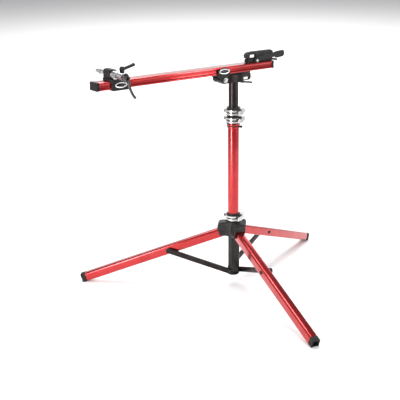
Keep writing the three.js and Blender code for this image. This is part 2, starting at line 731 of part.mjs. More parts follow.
function saddle() {
  const floorHalf = knuckleHalf + 2;
  const floor = block([saddleFrom, saddleTo], [-floorHalf, floorHalf], [saddleBottom, railBottom - gap]);
  let body = floor;
  for (const hand of [-1, 1]) {
    const side = new THREE.Shape();
    const top = railTop - 3;
    side.moveTo(hingeX - 8, hingeHeight + 2);
    side.lineTo(hingeX + 8, hingeHeight + 2);
    side.lineTo(cheekTo - 2, saddleBottom);
    side.quadraticCurveTo(cheekTo + 2, railBottom + 8, cheekTo - 4, top - 3);
    side.quadraticCurveTo((saddleFrom + cheekTo) / 2, top + 4, saddleFrom + 5, top - 3);
    side.quadraticCurveTo(saddleFrom - 4, railBottom + 8, saddleFrom + 2, saddleBottom);
    side.closePath();
    const span = [cheekInner, cheekOuter].map((y) => hand * y).sort((a, b) => a - b);
    const ear = [knuckleHalf + gap, cheekOuter].map((y) => hand * y).sort((a, b) => a - b);
    const shelf = block([saddleFrom + 2, cheekTo - 2], ear, [saddleBottom, railBottom - gap]);
    const knuckle = bar('y', knuckleRadius, ear, knuckleAt, medium);
    body = body.add(prism('y', side, span, 5)).add(knuckle).add(shelf);
  }
  const wayHalf = knuckleHalf + gap;
  const wayForKnuckle = bar('y', knuckleRadius + gap, [-wayHalf, wayHalf], knuckleAt, medium);
  const boltWay = bar('y', hingeBoltRadius + gap, [-cheekOuter - 1, cheekOuter + 1], knuckleAt);
  return body.subtract(wayForKnuckle).subtract(boltWay);
}
piece('rail_saddle', saddle(), blackPlastic);

function hingeBolt() {
  const face = cheekOuter + gap;
  return bar('y', hingeBoltRadius, [-face - 1, face + 1], knuckleAt)
    .add(bar('y', knuckleRadius - 4, [-face - 2, -face], knuckleAt, medium))
    .add(bar('y', hingeBoltRadius + 1, [-face - 5, -face - 1], knuckleAt, 6))
    .add(bar('y', hingeBoltRadius + 2, [face, face + 5], knuckleAt, 6));
}
piece('hinge_bolt', hingeBolt(), steel);

// The latch lever is a thin tongue hinged under the head on a pin of its own.
const latchPivot = place(...latchAt);
latchPivot.rotation.y = degrees(latchDrop);
function latchLever() {
  const side = new THREE.Shape();
  side.moveTo(0, -2);
  side.lineTo(latchLength - 2, -2);
  side.lineTo(latchLength, 0);
  side.lineTo(latchLength - 1, 2.4);
  side.lineTo(8, 2);
  side.lineTo(0, 2);
  side.closePath();
  const half = latchWidth / 2;
  return prism('y', side, [-half, half])
    .add(bar('y', latchEye, [-half, half]))
    .add(bar('y', latchPinRadius, [-half - latchEar, half + latchEar]));
}
piece('latch_lever', latchLever(), blackMetal, latchPivot);

// ---------------------------------------------------------------- rail and its end caps
// A box section with a shallow groove along each side.
function railShape(inset, grooved) {
  const w = railWidth / 2 - inset;
  const low = railBottom + inset;
  const high = railTop - inset;
  const half = railGrooveHeight / 2;
  const deep = grooved ? railGroove : 0;
  const r = railRound;
  const shape = new THREE.Shape();
  shape.moveTo(-w + r, low);
  shape.lineTo(w - r, low);
  shape.absarc(w - r, low + r, r, -Math.PI / 2, 0);
  shape.lineTo(w, railMiddle - half);
  shape.quadraticCurveTo(w - 2 * deep, railMiddle, w, railMiddle + half);
  shape.absarc(w - r, high - r, r, 0, Math.PI / 2);
  shape.absarc(-w + r, high - r, r, Math.PI / 2, Math.PI);
  shape.lineTo(-w, railMiddle + half);
  shape.quadraticCurveTo(-w + 2 * deep, railMiddle, -w, railMiddle - half);
  shape.absarc(-w + r, low + r, r, Math.PI, 1.5 * Math.PI);
  shape.closePath();
  return shape;
}
const railBore = prism('x', railShape(railWall, true), [railForkEnd - 1, railCradleEnd + 1], 3);
const railBody = prism('x', railShape(0, true), [railForkEnd, railCradleEnd], 3).subtract(railBore);
piece('rail', railBody, redMetal);

function railCap(from, to, plugTo) {
  const plug = prism('x', railShape(railWall + gap, true), [Math.min(plugTo, from), Math.max(plugTo, to)], 2);
  const plate = prism('x', railShape(-capProud, true), [from, to], 3);
  return plate.add(plug);
}
const forkCapFace = railForkEnd - gap;
const forkCap = railCap(forkCapFace - forkCapLength, forkCapFace, forkCapFace + capPlugLength);
piece('fork_end_cap', forkCap, blackPlastic);
const cradleCapFace = railCradleEnd + gap;
piece(
  'cradle_end_cap',
  railCap(cradleCapFace, cradleCapFace + cradleCapLength, cradleCapFace - capPlugLength),
  blackPlastic,
);

// ---------------------------------------------------------------- badges, plain ovals
function badge(name, x, y, z) {
  const shape = new THREE.Shape();
  shape.absellipse(0, 0, badgeHalfLength, badgeHalfHeight, 0, 2 * Math.PI);
  const seat = place(x, y, z);
  piece(name, prism('y', shape, [-badgeThickness, 0], 10), silver, seat);
}
badge('saddle_badge', (saddleFrom + cheekTo) / 2, -cheekOuter - gap, railMiddle - 1);

// ---------------------------------------------------------------- fork carriage
function carriage() {
  const outer = cheekInner + carriageWall;
  const low = railBottom - gap - carriageFloor;
  const skirt = prism('y', rounded([carriageFrom, carriageTo], [low, deckTop], 5, 4), [-outer, outer], 4);
  const deckHalf = railWidth / 2 + 1;
  const deckSide = rounded([deckFrom, deckTo], [deckBottom, deckTop], 1.5, 3);
  const deck = prism('y', deckSide, [-deckHalf, deckHalf], 3);
  const wayLength = [deckFrom - 1, deckTo + 1];
  const railWay = block(wayLength, [-cheekInner, cheekInner], [railBottom - gap, deckBottom]);
  const studWay = bar('z', pinRadius + gap, [deckBottom - 1, deckTop + 1], [studX, 0, 0]);
  return skirt.add(deck).subtract(railWay).subtract(studWay);
}
piece('fork_carriage', carriage(), blackPlastic);
badge('carriage_badge', (carriageFrom + carriageTo) / 2, -cheekInner - carriageWall - gap, railMiddle);

const axleAt = [axleX, 0, axleHeight];
function axleBlock() {
  const outline = rounded(
    [axleX - blockHalfLength, axleX + blockHalfLength],
    [deckTop + gap, axleHeight + blockTopRise],
    2,
    blockRound,
  );
  const body = prism('y', outline, [-blockHalfWidth, blockHalfWidth], 6);
  return body.subtract(bar('y', axleRadius + gap, [-blockHalfWidth - 1, blockHalfWidth + 1], axleAt, medium));
}
piece('axle_block', axleBlock(), blackPlastic);

// The axle is hollow for the skewer. The fork ends close on its two outer faces.
const halfFork = forkWidth / 2;
const skewerWay = bar('y', rodRadius + gap, [-2 * forkWidth, 2 * forkWidth], axleAt);
const axleShoulder = 2.5;
function forkAxle() {
  return bar('y', axleRadius, [-flangeFrom, halfFork], axleAt, medium)
    .add(bar('y', axleRadius + axleShoulder, [blockHalfWidth + gap, blockHalfWidth + 6], axleAt, medium))
    .add(bar('y', axleEndRadius, [halfFork - 1, halfFork + dropoutGap - gap], axleAt))
    .subtract(skewerWay);
}
piece('fork_axle', forkAxle(), silver);

function axleFlange() {
  return bar('y', flangeRadius, [-flangeFrom - flangeThickness, -flangeFrom - gap], axleAt, medium)
    .add(bar('y', axleRadius + axleShoulder, [-halfFork, -flangeFrom - 1], axleAt, medium))
    .add(bar('y', axleEndRadius, [-halfFork - dropoutGap + gap, -halfFork + 1], axleAt))
    .subtract(skewerWay);
}
piece('axle_flange', axleFlange(), silver);

const nearNut = -halfFork - dropoutGap;
const farNut = halfFork + dropoutGap;
const camY = nearNut - sleeveNutLength - gap - forkCamRadius;

// A bar along the cam's own axis, which is square to the skewer and leans from X.
function camBar(radius, half) {
  const geometry = new THREE.CylinderGeometry(radius, radius, 2 * half, small);
  geometry.rotateZ(Math.PI / 2).rotateY(degrees(-leverLean));
  return solid(geometry.translate(axleX, camY, axleHeight));
}

function forkSkewer() {
  return bar('y', rodRadius, [camY, farNut + endNutLength], axleAt)
    .add(camBar(forkEyeRadius, forkEyeHalf))
    .subtract(camBar(rodRadius + gap, forkCamHalf));
}
piece('fork_skewer', forkSkewer(), steel);

const sleeveNut = bar('y', sleeveNutRadius, [nearNut - sleeveNutLength, nearNut], axleAt, medium)
  .subtract(bar('y', rodRadius + gap, [nearNut - sleeveNutLength - 1, nearNut + 1], axleAt));
piece('skewer_sleeve', sleeveNut, silver);

const endNut = bar('y', endNutRadius, [farNut, farNut + endNutLength - 3], axleAt, medium)
  .add(bar('y', endNutRadius - 2, [farNut + 1, farNut + endNutLength + tipLength], axleAt, medium))
  .subtract(bar('y', rodRadius + gap, [farNut - 1, farNut + endNutLength + gap], axleAt));
piece('skewer_nut', endNut, steel);

// The lever's round head turns on the skewer's eye, and its arm curves back towards the fork.
// Drawn with its pin along x and its arm hanging down, then leaned.
function forkLever() {
  const path = new THREE.CatmullRomCurve3([
    new THREE.Vector3(0, -6.5, -4),
    new THREE.Vector3(0, -8, -13),
    new THREE.Vector3(0, -1.5, -22),
    new THREE.Vector3(0, 5, -35),
    new THREE.Vector3(0, 9, -51),
    new THREE.Vector3(0, 9, -65),
    new THREE.Vector3(0, 3.5, -77),
  ]);
  const section = new THREE.Shape();
  section.absellipse(0, 0, 3.1, 5.2, 0, 2 * Math.PI);
  const sweep = { steps: 16, curveSegments: 3, extrudePath: path, bevelEnabled: false };
  const way = forkEyeHalf + gap;
  const wide = forkCamRadius + 1;
  return bar('x', forkCamRadius, [-forkCamHalf, forkCamHalf], [0, 0, 0], medium)
    .add(solid(new THREE.ExtrudeGeometry(section, sweep)))
    .subtract(block([-way, way], [-wide, wide], [-forkEyeRadius - gap, wide]))
    .add(bar('x', rodRadius, [-forkCamHalf, forkCamHalf]));
}
const forkLeverSeat = place(axleX, camY, axleHeight);
forkLeverSeat.rotation.y = degrees(-leverLean);
piece('fork_lever', forkLever(), blackPlastic, forkLeverSeat);

// ---------------------------------------------------------------- rail clamp handle
const stud = bar('z', pinRadius, [deckBottom, handleTop - 8], [studX, 0, 0])
  .add(bar('z', pinRadius + 3, [deckTop + gap, deckTop + 4], [studX, 0, 0]));
piece('clamp_stud', stud, steel);

function clampHandle() {
  const hubPart = turned([
    [0, handleBottom],
    [handleRadius, handleBottom],
    [handleRadius, handleTop - 5],
    [handleRadius - 2, handleTop],
    [0, handleTop],
  ], small);
  const arm = new THREE.CatmullRomCurve3([
    new THREE.Vector3(2, 0, handleTop - 7),
    new THREE.Vector3(handleArm / 2, 0, handleTop - 7 + handleRise / 2.4),
    new THREE.Vector3(handleArm, 0, handleTop - 7 + handleRise),
  ]);
  const section = new THREE.Shape();
  section.absellipse(0, 0, 3.6, 4.4, 0, 2 * Math.PI);
  const run = { steps: 4, curveSegments: 3, extrudePath: arm, bevelEnabled: false };
  const sweep = new THREE.ExtrudeGeometry(section, run);
  const end = new THREE.SphereGeometry(5, 12, 8).translate(handleArm, 0, handleTop - 7 + handleRise);
  const bore = bar('z', pinRadius + gap, [handleBottom - 1, handleTop - 8 + gap]);
  return hubPart.add(solid(sweep)).add(solid(end)).subtract(bore);
}
piece('clamp_handle', clampHandle(), blackPlastic, place(studX, 0, 0));

// ---------------------------------------------------------------- bottom-bracket cradle
function cradleBase() {
  const low = railTop + gap;
  const high = low + cradleBaseHeight;
  const outline = rounded([cradleFrom, cradleTo], [low, high], 2, 2);
  const body = prism('y', outline, [-cradleHalfWidth, cradleHalfWidth], 3);
  const hookFrom = cradleTo - 2;
  const hook = new THREE.Shape();
  hook.moveTo(hookFrom, low + 1);
  hook.lineTo(cradleTo + 14, low - 2);
  hook.lineTo(cradleTo + 16, low + 5);
  hook.lineTo(cradleTo + 12, low + 5);
  hook.lineTo(cradleTo + 10, low + 3);
  hook.lineTo(hookFrom, low + 6);
  hook.closePath();
  const screwSpan = [-cradleHalfWidth - 1, -cradleHalfWidth + 12];
  const screwWay = bar('y', strapScrewRadius + gap, screwSpan, [strapPivotX, 0, strapHeight]);
  const capEnd = cradleCapFace + cradleCapLength + gap;
  const capHeight = [low - 5, railTop + capProud + gap];
  const capWay = block([cradleCapFace - gap, capEnd], [-railWidth, railWidth], capHeight);
  const hooks = prism('y', hook, [-padHalfWidth - 2 * gap - strapThickness, -cradleHalfWidth + 14]);
  return body.add(hooks).subtract(screwWay).subtract(capWay);
}
piece('cradle_base', cradleBase(), blackPlastic);

function cradlePad() {
  const side = new THREE.Shape();
  const from = cradleFrom - padOverhang;
  const to = cradleTo + 1;
  const top = padBottom + padHeight;
  side.moveTo(from + 8, padBottom);
  side.lineTo(to - 2, padBottom);
  side.lineTo(to, padBottom + 3);
  side.lineTo(to, top - 11);
  side.quadraticCurveTo(to, top, to - 11, top);
  side.lineTo(from + 28, top);
  side.quadraticCurveTo(from + 4, top, from, top - 12);
  side.quadraticCurveTo(from - 1, padBottom + 3, from + 8, padBottom);
  side.closePath();
  const front = rounded([-padHalfWidth, padHalfWidth], [padBottom, padBottom + padHeight], 3, 8);
  const slot = rounded([slotFrom, slotTo], [padBottom + slotLift, padBottom + slotLift + slotHeight], 2);
  return prism('y', side, [-padHalfWidth - 1, padHalfWidth + 1], 6)
    .intersect(prism('x', front, [from - 5, to + 5], 4))
    .subtract(prism('y', slot, [-padHalfWidth - 2, padHalfWidth + 2], 3));
}
piece('cradle_pad', cradlePad(), rubber);

// The strap turns on a screw in the cradle's side and lies along the cradle when it isn't used.
const strapPivot = place(strapPivotX, -padHalfWidth - gap, strapHeight);
strapPivot.rotation.y = degrees(-strapTilt);
function strap() {
  const narrow = strapWidth / 2;
  const wide = tabWidth / 2;
  const shape = new THREE.Shape();
  shape.moveTo(0, -narrow + 2);
  shape.lineTo(strapLength, -narrow + 4);
  shape.quadraticCurveTo(strapLength + 4, -wide + 2, strapLength + 10, -wide + 2);
  shape.lineTo(strapLength + tabLength - 9, -wide + 2);
  shape.quadraticCurveTo(strapLength + tabLength, -wide + 3, strapLength + tabLength, 4);
  shape.quadraticCurveTo(strapLength + tabLength, wide + 2, strapLength + tabLength - 9, wide + 2);
  shape.lineTo(strapLength + 8, wide + 2);
  shape.quadraticCurveTo(strapLength + 2, wide + 2, strapLength - 4, narrow + 4);
  shape.lineTo(12, narrow + 3);
  shape.quadraticCurveTo(-narrow, narrow + 2, -narrow, 1);
  shape.quadraticCurveTo(-narrow, -narrow + 2, 0, -narrow + 2);
  shape.closePath();
  return prism('y', shape, [-strapThickness, 0], 6)
    .subtract(bar('y', strapScrewRadius + gap, [-strapThickness - 1, 1]));
}
piece('cradle_strap', strap(), rubber, strapPivot);

const screwHead = -padHalfWidth - 2 * gap - strapThickness;
const screwAt = [strapPivotX, 0, strapHeight];
const strapScrew = bar('y', strapScrewRadius, [screwHead - 1, -cradleHalfWidth + 10], screwAt)
  .add(bar('y', strapScrewRadius + 2, [screwHead - 2, screwHead], screwAt));
piece('strap_screw', strapScrew, steel);

// ---------------------------------------------------------------- origin
// The stand's frame has its origin under the middle of its outline, on the floor.
stand.updateMatrixWorld(true);
const outline = new THREE.Box3().setFromObject(stand, true);
const middle = outline.getCenter(new THREE.Vector3());
stand.position.set(-middle.x, -middle.y, -outline.min.z);

export default stand;
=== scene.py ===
import json
import math

import bmesh
import bpy
import numpy as np
from mathutils import Matrix, Vector

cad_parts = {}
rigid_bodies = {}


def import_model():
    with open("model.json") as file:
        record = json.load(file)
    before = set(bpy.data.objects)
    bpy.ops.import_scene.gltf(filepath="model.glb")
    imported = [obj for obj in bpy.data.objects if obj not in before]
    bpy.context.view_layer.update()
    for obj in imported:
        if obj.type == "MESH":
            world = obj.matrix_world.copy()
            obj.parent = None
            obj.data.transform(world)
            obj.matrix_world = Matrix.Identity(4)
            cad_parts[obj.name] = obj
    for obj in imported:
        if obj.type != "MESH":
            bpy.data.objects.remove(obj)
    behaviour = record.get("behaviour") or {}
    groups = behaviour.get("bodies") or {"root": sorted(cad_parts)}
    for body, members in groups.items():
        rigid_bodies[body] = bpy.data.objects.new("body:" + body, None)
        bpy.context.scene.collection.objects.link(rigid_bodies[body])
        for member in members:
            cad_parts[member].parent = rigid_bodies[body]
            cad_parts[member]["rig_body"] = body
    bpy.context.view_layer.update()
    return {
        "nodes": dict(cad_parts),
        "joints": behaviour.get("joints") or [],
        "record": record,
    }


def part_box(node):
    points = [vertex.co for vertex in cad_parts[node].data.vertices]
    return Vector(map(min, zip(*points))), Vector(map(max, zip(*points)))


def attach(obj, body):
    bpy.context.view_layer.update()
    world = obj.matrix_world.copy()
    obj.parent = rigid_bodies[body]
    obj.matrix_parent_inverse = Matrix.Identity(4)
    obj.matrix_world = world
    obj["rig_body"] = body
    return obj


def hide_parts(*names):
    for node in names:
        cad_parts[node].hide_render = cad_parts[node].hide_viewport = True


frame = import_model()
print("frame loaded:", len(frame["nodes"]), "nodes")

mm = 0.001
vertical = np.array([0.0, 0.0, 1.0])
alongRail = np.array([1.0, 0.0, 0.0])
acrossRail = np.array([0.0, 1.0, 0.0])


def unit(vector):
    return np.asarray(vector, float) / np.linalg.norm(vector)


def pointsOf(node):
    mesh = frame["nodes"][node].data
    flat = np.empty(len(mesh.vertices) * 3)
    mesh.vertices.foreach_get("co", flat)
    return flat.reshape(-1, 3)


# lowest and highest of point . direction over a node's points
def span(node, direction):
    reach = pointsOf(node) @ unit(direction)
    return reach.min(), reach.max()


# middle of a node's box
def middle(node):
    low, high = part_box(node)
    return (np.array(low) + np.array(high)) / 2


# smallest and largest distance of a node's points from a line
def radiiOf(node, foot, axis):
    away = pointsOf(node) - foot
    away = away - np.outer(away @ axis, axis)
    distance = np.linalg.norm(away, axis=1)
    return distance.min(), distance.max()


mastFoot = middle("mast_tube") * (1, 1, 0)


# rounds the corners of an outline: a corner becomes an arc that touches both of its sides
def softened(outline, radius, steps=5, closed=False):
    outline = np.asarray(outline, float)
    count = len(outline)
    radii = np.broadcast_to(radius, count)
    made = []
    for spot in range(count):
        here = outline[spot]
        if (not closed and spot in (0, count - 1)) or radii[spot] <= 0:
            made.append(here[None])
            continue
        before = outline[spot - 1] - here
        after = outline[(spot + 1) % count] - here
        lengths = np.linalg.norm(before), np.linalg.norm(after)
        before, after = before / lengths[0], after / lengths[1]
        half = math.acos(np.clip(before @ after, -1, 1)) / 2
        if half > math.pi / 2 - 1e-3:
            made.append(here[None])
            continue
        back = min(radii[spot] / math.tan(half), 0.49 * lengths[0], 0.49 * lengths[1])
        turn = back * math.tan(half)
        centre = here + unit(before + after) * turn / math.sin(half)
        first, last = here + before * back - centre, here + after * back - centre
        share = np.linspace(0, 1, steps + 1)[:, None]
        sweep = math.pi - 2 * half
        arc = (np.sin((1 - share) * sweep) * first + np.sin(share * sweep) * last) / math.sin(sweep)
        made.append(centre + arc)
    return np.concatenate(made)


def closedLoop(outline):
    return np.concatenate([outline, outline[:1]])


# a box outline with rounded corners, drawn in by inset
def roundBox(width, height, radius, inset):
    x, y = width / 2 - inset, height / 2 - inset
    corners = [(-x, -y), (x, -y), (x, y), (-x, y)]
    radii = np.maximum(np.broadcast_to(radius, 4) - inset, 0.1 * mm)
    return closedLoop(softened(corners, radii, 5, True))


# distance travelled along each axis of a grid, which the brushed finishes follow
def lengthsOn(grid):
    down = np.linalg.norm(np.diff(grid, axis=0), axis=2).mean(1)
    across = np.linalg.norm(np.diff(grid, axis=1), axis=2).max(0)
    v = np.concatenate([[0], np.cumsum(down)])
    u = np.concatenate([[0], np.cumsum(across)])
    return np.stack(np.broadcast_arrays(u[None, :], v[:, None]), -1)


# a grid of points becomes a skin of four-sided faces; points that coincide are merged
def skin(name, grid, crease=38):
    rows, columns = grid.shape[:2]
    index = np.arange(rows * columns).reshape(rows, columns)
    quads = np.stack([index[:-1, :-1], index[:-1, 1:], index[1:, 1:], index[1:, :-1]], -1).reshape(-1, 4)
    mesh = bpy.data.meshes.new(name)
    mesh.from_pydata(grid.reshape(-1, 3).tolist(), [], quads.tolist())
    layer = mesh.uv_layers.new(name="lengths")
    lengths = lengthsOn(grid).reshape(-1, 2)[quads.ravel()]
    layer.data.foreach_set("uv", lengths.astype(np.float32).ravel())
    settle(mesh)
    mesh.set_sharp_from_angle(angle=math.radians(crease))
    return mesh


# merges doubled points, drops faces of no size and turns every face outwards
def settle(mesh, reach=2e-6):
    work = bmesh.new()
    work.from_mesh(mesh)
    bmesh.ops.remove_doubles(work, verts=work.verts, dist=reach)
    bmesh.ops.dissolve_degenerate(work, edges=work.edges, dist=1e-7)
    bmesh.ops.recalc_face_normals(work, faces=work.faces)
    work.to_mesh(mesh)
    work.free()
    mesh.polygons.foreach_set("use_smooth", np.ones(len(mesh.polygons), bool))


# two directions square to an axis
def squareTo(axis):
    guess = vertical if abs(axis[2]) < 0.9 else alongRail
    side = unit(guess - axis * (axis @ guess))
    return side, np.cross(axis, side)


# a turned surface: foot + axis * along + (side * cos t + third * sin t) * radius,
# where ripple(t, along) is added to the radius
def turned(foot, axis, profile, sides=96, ripple=None):
    axis = unit(axis)
    side, third = squareTo(axis)
    profile = np.asarray(profile, float)
    angle = np.linspace(0, 2 * math.pi, sides + 1)
    radius = np.repeat(profile[:, 1][:, None], sides + 1, 1)
    if ripple is not None:
        radius = radius + ripple(angle[None, :], profile[:, 0][:, None]) * (radius > 0)
    ring = side * np.cos(angle)[:, None] + third * np.sin(angle)[:, None]
    return foot + axis * profile[:, 0][:, None, None] + ring[None] * radius[..., None]


# a straight bar: start + axis * s + across * x + up * y, where (x, y) is the section drawn in near the ends
def bar(start, end, across, up, section, edge, steps=4):
    axis = unit(end - start)
    length = np.linalg.norm(end - start)
    turn = np.linspace(0, math.pi / 2, steps + 1)
    depths, insets = edge * (1 - np.sin(turn[::-1])), edge * (1 - np.cos(turn[::-1]))
    along = np.concatenate([depths, length - depths[::-1]])
    outlines = np.array([section(inset) for inset in np.concatenate([insets, insets[::-1]])])
    outlines = np.concatenate([outlines[:1] * 0, outlines, outlines[-1:] * 0])
    along = np.concatenate([along[:1], along, along[-1:]])
    return start + axis * along[:, None, None] + across * outlines[..., :1] + up * outlines[..., 1:]


# a copy of a CAD node rebuilt on a fine grid and relaxed, so that its edges are round as on a casting
def castCopy(name, node, voxel, relax=4):
    mesh = frame["nodes"][node].data.copy()
    mesh.materials.clear()
    settle(mesh, 1e-5)
    model = bpy.data.objects.new(name + "_form", mesh)
    bpy.context.scene.collection.objects.link(model)
    rebuild = model.modifiers.new("rebuild", "REMESH")
    rebuild.mode = "VOXEL"
    rebuild.voxel_size = voxel
    smooth = model.modifiers.new("relax", "SMOOTH")
    smooth.factor = 0.5
    smooth.iterations = relax
    bpy.context.view_layer.update()
    ready = bpy.data.meshes.new_from_object(model.evaluated_get(bpy.context.evaluated_depsgraph_get()))
    bpy.data.objects.remove(model)
    ready.polygons.foreach_set("use_smooth", np.ones(len(ready.polygons), bool))
    return ready


# a flat piece with rounded edges: origin + (outline drawn in by the edge's arc) + through * depth,
# closed on both faces towards the outline's middle
def slab(origin, across, up, outline, low, high, edge, steps=4):
    outline = closedLoop(np.asarray(outline, float))
    step = np.roll(outline[:-1], -1, 0) - np.roll(outline[:-1], 1, 0)
    normal = np.stack([step[:, 1], -step[:, 0]], 1)
    normal /= np.linalg.norm(normal, axis=1)[:, None]
    centre = outline[:-1].mean(0)
    if np.mean(np.sum(normal * (outline[:-1] - centre), 1)) < 0:
        normal = -normal
    normal = closedLoop(normal)
    turn = np.linspace(0, math.pi / 2, steps + 1)
    inset = edge * (1 - np.sin(turn))
    depth = edge * (1 - np.cos(turn))
    insets = np.concatenate([inset, inset[::-1]])
    depths = np.concatenate([low + depth, (high - depth)[::-1]])
    rings = outline[None] - normal[None] * insets[:, None, None]
    ends = np.broadcast_to(centre, (1,) + outline.shape)
    rings = np.concatenate([ends, rings, ends])
    depths = np.concatenate([[low], depths, [high]])
    through = np.cross(across, up)
    return origin + across * rings[..., :1] + up * rings[..., 1:] + through * depths[:, None, None]


def oval(halfLength, halfHeight, count=96):
    angle = np.linspace(0, 2 * math.pi, count, endpoint=False)
    return np.stack([halfLength * np.cos(angle), halfHeight * np.sin(angle)], 1)


# a long outline with half-round ends
def stadium(length, height, count=12):
    angle = np.linspace(-math.pi / 2, math.pi / 2, count + 1)
    end = np.stack([np.cos(angle), np.sin(angle)], 1) * height / 2
    return np.concatenate([end + (length, 0), -end])


# puts a finished mesh in the scene, riding with the first node named
def fit(name, mesh, finish, *stands):
    mesh.name = name
    piece = bpy.data.objects.new(name, mesh)
    bpy.context.scene.collection.objects.link(piece)
    mesh.materials.clear()
    mesh.materials.append(finishes[finish])
    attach(piece, frame["nodes"][stands[0]]["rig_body"])
    return piece


# the same, in place of the nodes
def stand(name, mesh, finish, *stands):
    piece = fit(name, mesh, finish, *stands)
    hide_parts(*stands)
    return piece


# one socket of a material: sums on it add Math nodes, and add() puts in any other node
class Wire:
    def __init__(self, tree, socket):
        self.tree = tree
        self.socket = socket

    def add(self, kind, settings=None, inputs=None, out=0):
        made = self.tree.nodes.new(kind)
        for key, value in (settings or {}).items():
            if key == "stops":
                for spot, (at, colour) in enumerate(value):
                    stops = made.color_ramp.elements
                    stop = stops[spot] if spot < len(stops) else stops.new(at)
                    stop.position = at
                    stop.color = colour
            else:
                setattr(made, key, value)
        for key, value in (inputs or {}).items():
            if isinstance(value, Wire):
                self.tree.links.new(value.socket, made.inputs[key])
            else:
                made.inputs[key].default_value = value
        return Wire(self.tree, made.outputs[out])

    def sum(self, operation, first, second=0.0):
        return self.add("ShaderNodeMath", {"operation": operation}, {0: first, 1: second})

    def __add__(self, other):
        return self.sum("ADD", self, other)

    def __radd__(self, other):
        return self.sum("ADD", other, self)

    def __mul__(self, other):
        return self.sum("MULTIPLY", self, other)

    def __rmul__(self, other):
        return self.sum("MULTIPLY", other, self)

    def noise(self, size, detail=3.0, stretch=(1, 1, 1), rough=0.55):
        scale = tuple(share / size for share in stretch)
        scaled = self.add("ShaderNodeMapping", {}, {"Vector": self, "Scale": scale})
        values = {"Vector": scaled, "Scale": 1.0, "Detail": detail, "Roughness": rough}
        return scaled.add("ShaderNodeTexNoise", {}, values)

    def between(self, low, high):
        values = {"Value": self, "From Min": low, "From Max": high}
        return self.add("ShaderNodeMapRange", {"clamp": True}, values)

    def blend(self, first, second):
        return self.add("ShaderNodeMix", {"data_type": "RGBA"}, {"Factor": self, 6: first, 7: second}, 2)


def colour(red, green, blue):
    return (red, green, blue, 1.0)


finishes = {}


# a finish whose build(object coordinates, lengths) returns what goes on the shader's sockets
def makeFinish(name, build, bump):
    material = bpy.data.materials.new(name)
    material.use_nodes = True
    tree = material.node_tree
    shader = next(node for node in tree.nodes if node.type == "BSDF_PRINCIPLED")
    where = tree.nodes.new("ShaderNodeTexCoord")
    parts = build(Wire(tree, where.outputs["Object"]), Wire(tree, where.outputs["UV"]))
    height = parts.pop("height")
    relief = height.add("ShaderNodeBump", {}, {"Height": height, "Distance": bump, "Strength": 1.0})
    tree.links.new(relief.socket, shader.inputs["Normal"])
    for key, value in parts.items():
        if isinstance(value, Wire):
            tree.links.new(value.socket, shader.inputs[key])
        else:
            shader.inputs[key].default_value = value
    finishes[name] = material


def redAnodised(where, lengths):
    streak = lengths.noise(0.35 * mm, 2, (1, 0.012, 1))
    cloud = where.noise(45 * mm, 3)
    scuff = where.noise(3.2 * mm, 5, (1, 1, 1), 0.7).between(0.66, 0.78)
    tone = cloud.between(0.3, 0.7).blend(colour(0.43, 0.012, 0.014), colour(0.53, 0.020, 0.022))
    return {
        "Base Color": (scuff * 0.15).blend(tone, colour(0.62, 0.06, 0.06)),
        "Metallic": 0.92,
        "Roughness": 0.15 + streak * 0.10 + scuff * 0.12,
        "Coat Weight": 0.75 + cloud * 0.2,
        "Coat Roughness": 0.10,
        "height": streak,
    }


def castBlack(where, lengths):
    peel = where.noise(1.1 * mm, 4)
    cloud = where.noise(14 * mm, 3)
    return {
        "Specular IOR Level": 0.28,
        "Base Color": cloud.between(0.3, 0.7).blend(
            colour(0.008, 0.007, 0.007), colour(0.016, 0.014, 0.013)),
        "Roughness": 0.30 + cloud * 0.16 + peel * 0.06,
        "Coat Weight": 0.08,
        "Coat Roughness": 0.2,
        "height": peel,
    }


def mouldedBlack(where, lengths):
    grain = where.noise(0.55 * mm, 4, (1, 1, 1), 0.65)
    cloud = where.noise(9 * mm, 2)
    return {
        "Specular IOR Level": 0.22,
        "Base Color": cloud.between(0.3, 0.7).blend(
            colour(0.006, 0.005, 0.005), colour(0.012, 0.010, 0.010)),
        "Roughness": 0.36 + grain * 0.22,
        "height": grain,
    }


def alloyBlack(where, lengths):
    streak = lengths.noise(0.3 * mm, 2, (1, 0.02, 1))
    cloud = where.noise(20 * mm, 3)
    return {
        "Base Color": cloud.between(0.3, 0.7).blend(
            colour(0.014, 0.010, 0.010), colour(0.028, 0.022, 0.022)),
        "Metallic": 0.75,
        "Roughness": 0.22 + streak * 0.12,
        "height": streak,
    }


def bushPlastic(where, lengths):
    grain = where.noise(0.7 * mm, 3)
    return {
        "Specular IOR Level": 0.25,
        "Base Color": grain.between(0.3, 0.7).blend(
            colour(0.012, 0.011, 0.012), colour(0.022, 0.021, 0.021)),
        "Roughness": 0.34 + grain * 0.12,
        "height": grain,
    }


def knobPlastic(where, lengths):
    cloud = where.noise(5 * mm, 4)
    return {
        "Specular IOR Level": 0.3,
        "Base Color": cloud.between(0.3, 0.7).blend(
            colour(0.012, 0.011, 0.011), colour(0.022, 0.020, 0.020)),
        "Roughness": 0.20 + cloud * 0.16,
        "Coat Weight": 0.2,
        "Coat Roughness": 0.12,
        "height": cloud,
    }


def brightAlloy(where, lengths):
    brush = where.noise(0.5 * mm, 3, (0.05, 0.05, 1))
    cloud = where.noise(11 * mm, 3)
    return {
        "Base Color": cloud.between(0.3, 0.7).blend(colour(0.52, 0.50, 0.50), colour(0.66, 0.64, 0.63)),
        "Metallic": 1.0,
        "Roughness": 0.16 + brush * 0.16,
        "height": brush,
    }


def axleMetal(where, lengths):
    rings = where.noise(0.4 * mm, 2, (0.02, 1, 0.02))
    cloud = where.noise(8 * mm, 3)
    return {
        "Base Color": cloud.between(0.3, 0.7).blend(colour(0.50, 0.50, 0.52), colour(0.74, 0.74, 0.76)),
        "Metallic": 1.0,
        "Roughness": 0.20 + rings * 0.18,
        "height": rings,
    }


